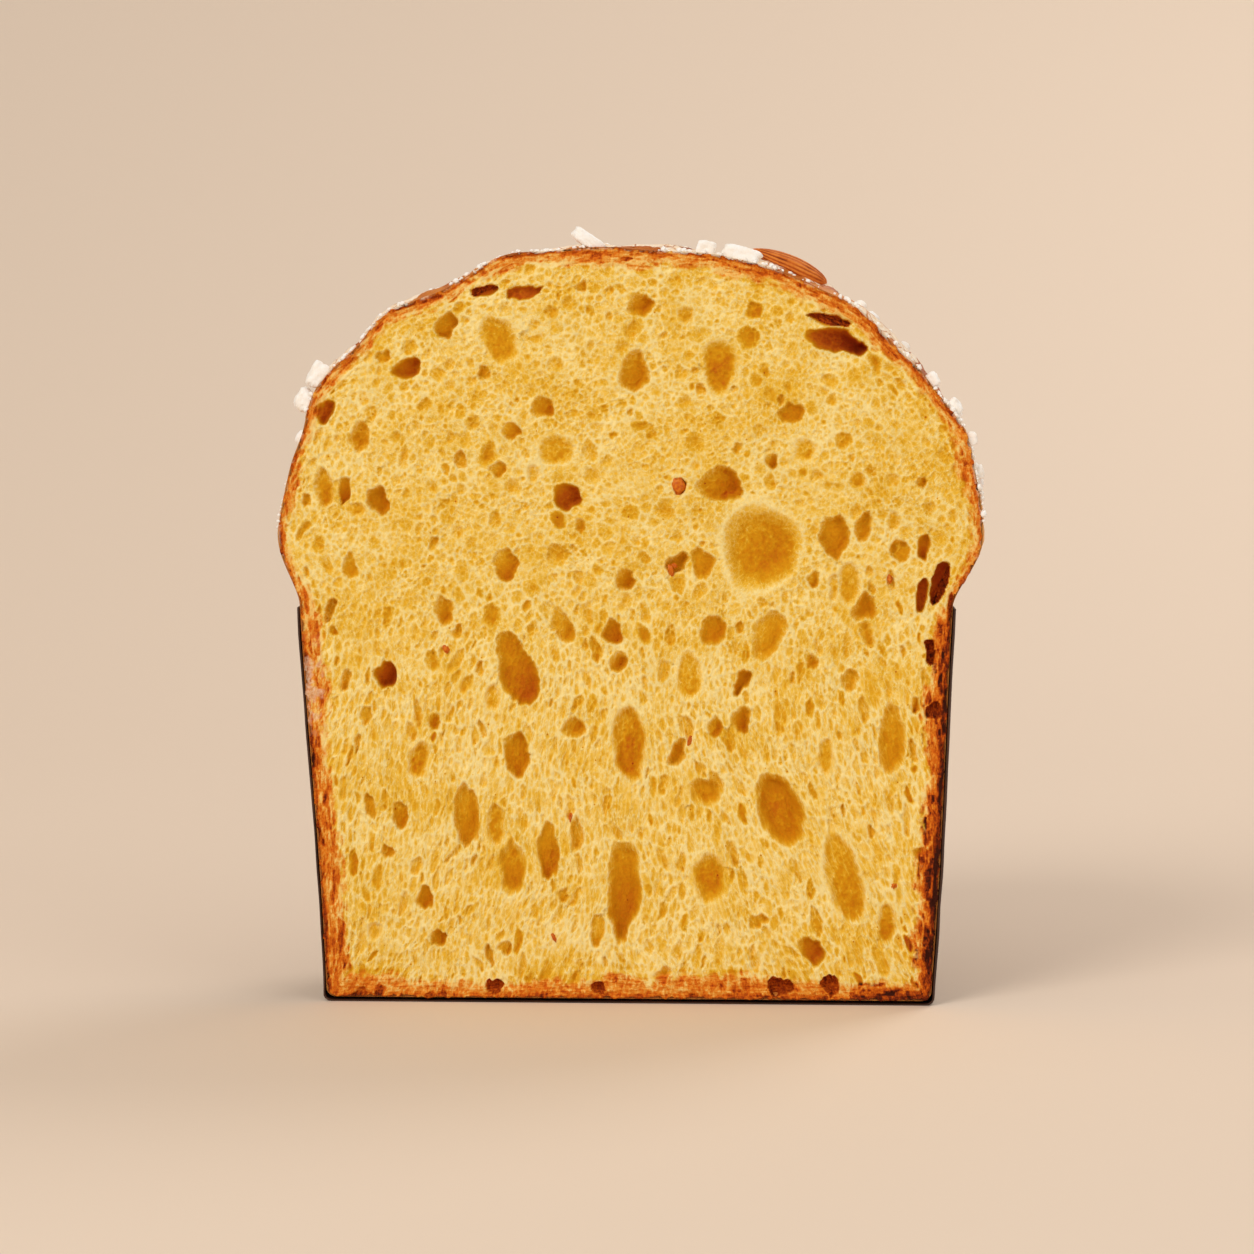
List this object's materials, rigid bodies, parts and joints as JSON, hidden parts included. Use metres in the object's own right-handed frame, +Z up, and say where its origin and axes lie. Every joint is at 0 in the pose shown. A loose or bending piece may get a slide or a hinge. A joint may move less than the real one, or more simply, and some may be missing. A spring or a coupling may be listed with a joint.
{
  "type": "panettone",
  "caption": "Half of a tall domed panettone with its open crumb cut flat, in its dark paper mould, with sugar grains and almonds on the browned dome.",
  "frame": {"origin": "on the floor under the middle of the piece's box", "axes": "+Z up through the dome, -Y out of the cut face, +X to the right as the cut face is seen"},
  "size_m": [0.1895, 0.0991, 0.2075],
  "materials": {
    "bread": "yellow open crumb inside an orange-brown baked crust, with white sugar",
    "mould_paper": "dark brown baking paper, dull, stained by the crust",
    "almond": "toasted almond skin, finely wrinkled"
  },
  "bodies": {
    "root": {"loaf": "bread", "paper_mould": "mould_paper", "almond_1": "almond", "almond_2": "almond", "almond_3": "almond", "almond_4": "almond", "almond_5": "almond", "almond_6": "almond"}
  },
  "joints": []
}
